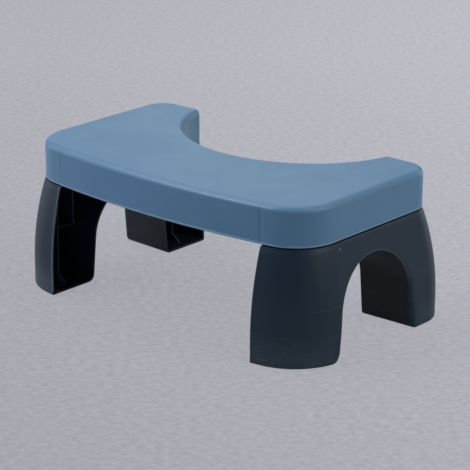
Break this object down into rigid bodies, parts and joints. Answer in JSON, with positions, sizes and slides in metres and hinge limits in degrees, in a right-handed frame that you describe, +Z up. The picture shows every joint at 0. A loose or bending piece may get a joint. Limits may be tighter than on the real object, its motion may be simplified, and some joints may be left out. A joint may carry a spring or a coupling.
{
  "type": "toilet footstool",
  "caption": "Low toilet footstool: a blue horseshoe platform shell with a recess for the bowl, on dark flared arch legs that plug up into it.",
  "frame": {"origin": "on the floor, under the middle of the bounding box of the whole stool", "axes": "+X along the length, to the right as seen from the bowed front edge; +Y towards the side with the bowl recess; +Z up"},
  "size_m": [0.431, 0.2534, 0.17],
  "materials": {
    "platform_plastic": "fine satin moulded polypropylene, dusty blue",
    "leg_plastic": "fine matte moulded polypropylene, dark slate",
    "pad_rubber": "matte black soft rubber"
  },
  "bodies": {
    "root": {"platform": "platform_plastic", "left_leg": "leg_plastic", "right_leg": "leg_plastic", "front_left_foot_pad": "pad_rubber", "front_right_foot_pad": "pad_rubber", "rear_left_foot_pad": "pad_rubber", "rear_right_foot_pad": "pad_rubber"}
  },
  "joints": []
}
